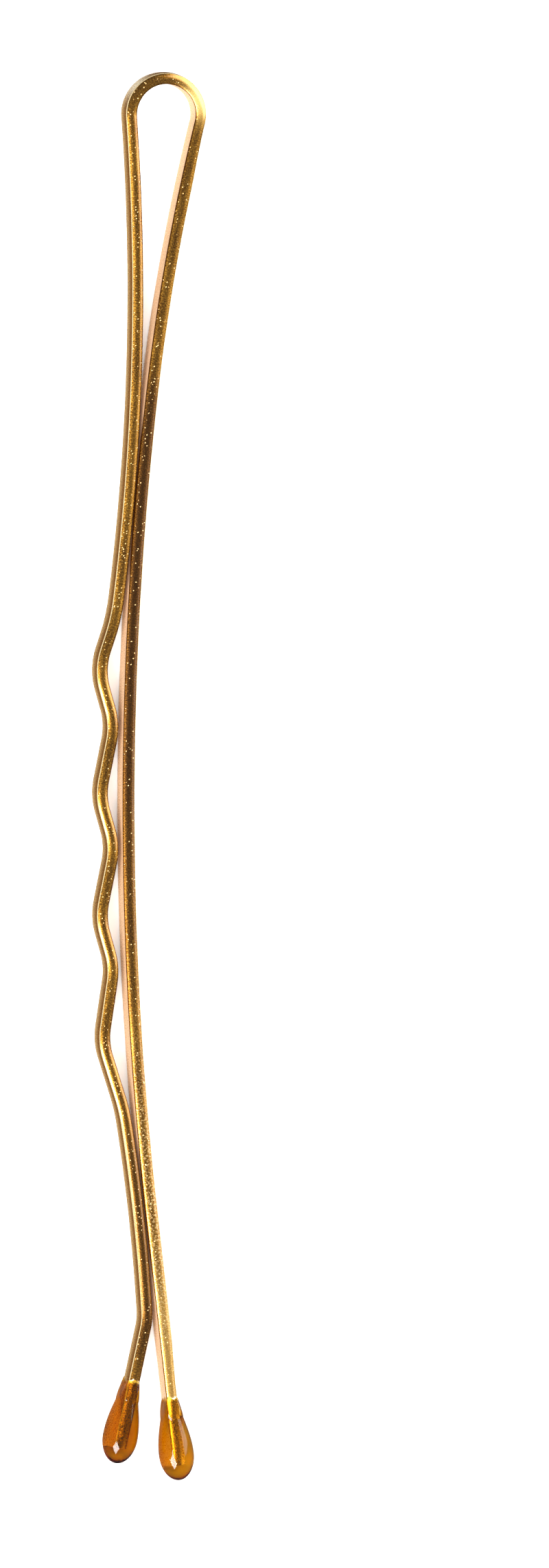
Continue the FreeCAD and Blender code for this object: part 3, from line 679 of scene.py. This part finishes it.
def gold_lacquer():
    """Gold lacquer over steel: brown gold under a clear coat, mottled and finely grained, with glints.

    Its colour is laid on in layers, each where its mask is above 0. Many of them are painted light and
    shade: painted reflections on the inner side and low on the outer side, painted shade high on the outer
    side, along the inner ridges, where the legs meet and along the press, and painted highlights on the
    bow, the ridges, the shoulder, the foot, the glints and the neck. The inner side, the painted ridge
    highlights, glints and neck highlights are duller than the lacquer, by the share in their layer.
    """
    material, tree, shader, _ = new_material("gold_lacquer")

    def product(first, second):
        return calculate(tree, "MULTIPLY", first, second)

    def larger(first, second):
        return calculate(tree, "MAXIMUM", first, second)

    def noise(vector, scale, detail):
        inputs = {"Vector": vector, "Scale": scale, "Detail": detail, "Roughness": NOISE_ROUGHNESS}
        return add_node(tree, "ShaderNodeTexNoise", inputs).outputs["Fac"]

    def flecks(scale, radius, share):
        """Round spots in a share of the cells of a scattered pattern."""
        cells = add_node(tree, "ShaderNodeTexVoronoi", {"Vector": lay, "Scale": scale})
        lot = add_node(tree, "ShaderNodeSeparateColor", {"Color": cells.outputs["Color"]}).outputs["Red"]
        spot = ease(tree, cells.outputs["Distance"], radius, FLECK_CORE * radius)
        return product(spot, calculate(tree, "LESS_THAN", lot, share))

    lay = attribute_of(tree, "lay", "Vector")
    drawn = add_node(tree, "ShaderNodeMapping", {"Vector": lay, "Scale": DRAWN_ALONG}).outputs["Vector"]
    outer, ridge, narrow, fold, inside = [attribute_of(tree, side) for side in SIDES]
    rise = attribute_of(tree, "rise")
    light_and_shade = attribute_of(tree, "light_and_shade")
    past_neck = attribute_of(tree, "past_neck")

    # The outer side, paler below as a painted reflection and darker above as painted shade, with a painted
    # highlight on the bow;
    # and the inner side, pale as a painted reflection and dark with painted shade where the legs meet
    painted_outer_light = blend_colour(tree, ease(tree, rise, *OUTER_RISE), PAINTED_OUTER_REFLECTION, PAINTED_OUTER_SHADE)
    painted_outer_light = blend_colour(tree, product(attribute_of(tree, "painted_bow_highlight"), BOW_HIGHLIGHT_SHARE), painted_outer_light, PAINTED_BOW_GLEAM)
    off_middle = calculate(tree, "ABSOLUTE", calculate(tree, "SUBTRACT", rise, 0.5))
    clear = ease(tree, attribute_of(tree, "clear"), *CONTACT_CLEAR)
    clear = larger(clear, ease(tree, off_middle, *CONTACT_STRIP))
    inner = blend_colour(tree, clear, PAINTED_CONTACT_SHADE, PAINTED_INNER_REFLECTION)

    # Masks
    mottle = ease(tree, noise(drawn, MOTTLE_SCALE, FINE_DETAIL), *MOTTLE_LEVELS)
    grain = noise(lay, GRAIN_SCALE, FINE_DETAIL)
    golden = ease(tree, grain, *GRAIN_LEVELS, 0, GRAIN_SHARE)
    pits = product(flecks(*PITS), inside)
    # The ridges are painted pale as a highlight
    ridge = product(ridge, RIDGE_SHARE)
    # Painted shade and painted highlights on the narrow edges, from the painted light and shade along the
    # wire
    painted_shade = product(ease(tree, light_and_shade, 0.0, -1.0), narrow)
    painted_highlight = product(ease(tree, light_and_shade, 0.0, 1.0), narrow)
    # Glints: pale spots painted on the narrow edges as highlights, raised a little in the relief
    glints = product(flecks(*GLINTS), narrow)
    frost = ease(tree, noise(lay, FROST_SCALE, SOFT_DETAIL), *FROST_LEVELS, 0, FROST_SHARE)
    frost = product(product(frost, larger(narrow, ridge)), attribute_of(tree, "frosted"))
    # The wire is darker brown where it runs inside its tip
    inside_tip = calculate(tree, "SUBTRACT", ease(tree, past_neck, 0.0, INSIDE_TIP_RUN, 0, INSIDE_TIP_SHARE), painted_highlight)
    inside_tip = larger(inside_tip, 0.0)
    # A ragged painted highlight on the narrow edges at the neck
    ragged = product(noise(lay, NECK_HIGHLIGHT_SCALE, SOFT_DETAIL), NECK_HIGHLIGHT_RAGGED)
    ragged = calculate(tree, "ADD", calculate(tree, "ABSOLUTE", past_neck), ragged)
    neck_highlight = product(ease(tree, ragged, *NECK_HIGHLIGHT_RUN), narrow)

    colour = blend_colour(tree, mottle, LACQUER_DEEP, LACQUER_LIGHT)
    dull = 0.0
    for mask, tint, dullness in (
        (golden, GRAIN_GOLD, 0),
        (outer, painted_outer_light, 0.45),
        (fold, PAINTED_FOLD_SHADE, 0),
        (inside, inner, 0.85),
        (pits, PIT_BROWN, 0),
        (ridge, PAINTED_RIDGE_HIGHLIGHT, 0.5),
        (painted_shade, PAINTED_PRESS_SHADE, 0),
        (painted_highlight, PAINTED_EDGE_HIGHLIGHT, 0.6),
        (glints, GLINT_GOLD, 0.6),
        (frost, FROST_GOLD, 0.5),
        (inside_tip, TIP_INSIDE_BROWN, 0),
        (neck_highlight, PAINTED_NECK_HIGHLIGHT, 0.8),
    ):
        colour = blend_colour(tree, mask, colour, tint)
        if dullness:
            dull = larger(dull, product(mask, dullness))

    height = calculate(tree, "ADD", grain, product(glints, GLINT_RELIEF))
    relief = {"Height": height, "Strength": RELIEF_STRENGTH, "Distance": RELIEF_DEPTH * MM}
    bare = larger(larger(outer, fold), inside)
    set_inputs(tree, shader, {
        "Base Color": colour,
        "Metallic": calculate(tree, "SUBTRACT", 1.0, dull),
        "Roughness": ease(tree, grain, *GLOSS_LEVELS, *GLOSS_ROUGHNESS),
        "Normal": add_node(tree, "ShaderNodeBump", relief).outputs["Normal"],
        "Coat Weight": ease(tree, bare, 0.0, 1.0, *COAT_WEIGHTS),
        "Coat Roughness": COAT_ROUGHNESS,
        "Specular IOR Level": METAL_SPECULAR,
        "Specular Tint": SHEEN_GOLD,
    })
    return material


# The epoxy: clear honey, browned by painted shade where the drop ends, with the colour and density (per
# metre) of its depth
AMBER_HONEY = 0.93, 0.68, 0.11, 1
PAINTED_AMBER_SHADE = 0.30, 0.10, 0.015, 1
AMBER_DEPTH = 0.98, 0.90, 0.04, 1
AMBER_DENSITY = 3600.0
AMBER_IOR = 1.4
AMBER_ROUGHNESS = 0.03


def amber_epoxy():
    """Clear honey-coloured epoxy that deepens with its thickness, with painted shade browning the end of
    the drop.
    """
    material, tree, shader, output = new_material("amber_epoxy")
    set_inputs(tree, shader, {
        "Base Color": blend_colour(tree, attribute_of(tree, "ending"), AMBER_HONEY, PAINTED_AMBER_SHADE),
        "Transmission Weight": 1.0,
        "IOR": AMBER_IOR,
        "Roughness": AMBER_ROUGHNESS,
    })
    depth = add_node(tree, "ShaderNodeVolumeAbsorption", {"Color": AMBER_DEPTH, "Density": AMBER_DENSITY})
    set_inputs(tree, output, {"Volume": depth.outputs["Volume"]})
    return material


# The floor: half the length of its sides in metres, and its finish
FLOOR_HALF = 3.0
FLOOR_COLOUR = 0.96, 0.935, 0.90, 1
FLOOR_ROUGHNESS = 0.9
FLOOR_SPECULAR = 0.1


def pale_floor():
    """Matt, slightly warm white."""
    material, tree, shader, _ = new_material("pale_floor")
    set_inputs(tree, shader, {
        "Base Color": FLOOR_COLOUR,
        "Roughness": FLOOR_ROUGHNESS,
        "Specular IOR Level": FLOOR_SPECULAR,
    })
    return material


gold = gold_lacquer()
amber = amber_epoxy()

bow = bow_piece()
straight_wire = leg_piece("straight_wire", straight, crimped, side=1, start=0, full=STRAIGHT_FULL)
crimped_wire = leg_piece("crimped_wire", crimped, straight, side=-1, start=bow_length, full=0)
straight_tip = tip_piece("straight_tip", foot_neck, foot_lean, foot_lean + TIP_SAG, turn=0.4)
crimped_tip = tip_piece("crimped_tip", flare_neck, -FLARE_LEAN, 2 * TIP_SAG - FLARE_LEAN, turn=1.9)

for piece, body, node, finish, slot in (
    (straight_wire, "straight_half", "straight_leg", gold, "gold_lacquer"),
    (crimped_wire, "crimped_half", "crimped_leg", gold, "gold_lacquer"),
    (straight_tip, "straight_half", "straight_leg_tip", amber, "amber_epoxy"),
    (crimped_tip, "crimped_half", "crimped_leg_tip", amber, "amber_epoxy"),
    (bow, None, "spring_bow", gold, "gold_lacquer"),
):
    piece.data.materials.append(finish)
    if body:
        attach(piece, body)
    else:
        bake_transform(piece)
    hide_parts(node)

# The floor lights the pin but isn't mirrored in the metal
floor_corners = np.array(((-1, -1, 0), (1, -1, 0), (1, 1, 0), (-1, 1, 0))) * FLOOR_HALF
floor = add_mesh("floor", floor_corners, [(0, 1, 2, 3)], np.zeros(1, bool))
floor.data.materials.append(pale_floor())
floor.visible_glossy = False

# The photo's size in pixels
PHOTO_WIDE, PHOTO_TALL = 800, 2286
# Where the middle of the pin lies in the picture, and the length that a pixel covers there
PIN_PX = 217.4, 1132.6
MM_PER_PX = 0.02917
# How far the camera stands to the left of square and towards the bow, and its distance in metres
VIEW_LEFT = radians(14.6)
VIEW_BOW = radians(4.0)
CAMERA_AWAY = 0.9
SENSOR_WIDE = 36
CLIP_NEAR, CLIP_FAR = 0.05, 20

back = Vector((-sin(VIEW_LEFT) * cos(VIEW_BOW), sin(VIEW_BOW), cos(VIEW_LEFT) * cos(VIEW_BOW)))
right = Vector((0, 1, 0)).cross(back).normalized()
up = back.cross(right)
pixel = MM_PER_PX * MM
aim = Vector((0, 0, belly_radius * MM))
aim += right * (PHOTO_WIDE / 2 - PIN_PX[0]) * pixel - up * (PHOTO_TALL / 2 - PIN_PX[1]) * pixel
camera_data = bpy.data.cameras.new("camera")
camera_data.sensor_width = SENSOR_WIDE
camera_data.lens = SENSOR_WIDE * CAMERA_AWAY / (PHOTO_TALL * pixel)
camera_data.clip_start = CLIP_NEAR
camera_data.clip_end = CLIP_FAR
camera = bpy.data.objects.new("camera", camera_data)
turned = Matrix((right, up, back)).transposed().to_4x4()
camera.matrix_world = Matrix.Translation(aim + back * CAMERA_AWAY) @ turned
bpy.context.scene.collection.objects.link(camera)
bpy.context.scene.camera = camera


def soft_box(name, heading, height, away, wide, tall, radiance, mirrored=True):
    """A soft box that faces the pin from a heading (from +X towards +Y) and a height above the floor.

    Both are in degrees, and its distance and size are in metres. A box that isn't mirrored lights the
    floor but isn't seen in the metal.
    """
    data = bpy.data.lights.new(name, "AREA")
    data.shape = "RECTANGLE"
    data.size, data.size_y = wide, tall
    data.energy = radiance * pi * wide * tall
    lamp = bpy.data.objects.new(name, data)
    heading, height = radians(heading), radians(height)
    towards = Vector((cos(heading) * cos(height), sin(heading) * cos(height), sin(height)))
    facing = towards.to_track_quat("Z", "Y").to_matrix().to_4x4()
    lamp.matrix_world = Matrix.Translation(towards * away) @ facing
    lamp.visible_camera = False
    lamp.visible_glossy = mirrored
    lamp.visible_transmission = mirrored
    bpy.context.scene.collection.objects.link(lamp)


soft_box("key_box", heading=224, height=43, away=1.0, wide=0.6, tall=0.54, radiance=22)
soft_box("side_box", heading=32, height=30, away=1.0, wide=1.1, tall=0.8, radiance=3.9)
soft_box("top_fill", heading=0, height=90, away=1.6, wide=2.5, tall=2.5, radiance=3.6, mirrored=False)

STUDIO_WHITE = 1, 1, 1, 1
STUDIO_STRENGTH = 0.2
world = bpy.data.worlds.new("studio")
world.use_nodes = True
studio = world.node_tree
set_inputs(studio, studio.nodes["Background"], {"Color": STUDIO_WHITE, "Strength": STUDIO_STRENGTH})
bpy.context.scene.world = world
bpy.context.scene.view_settings.view_transform = "Standard"
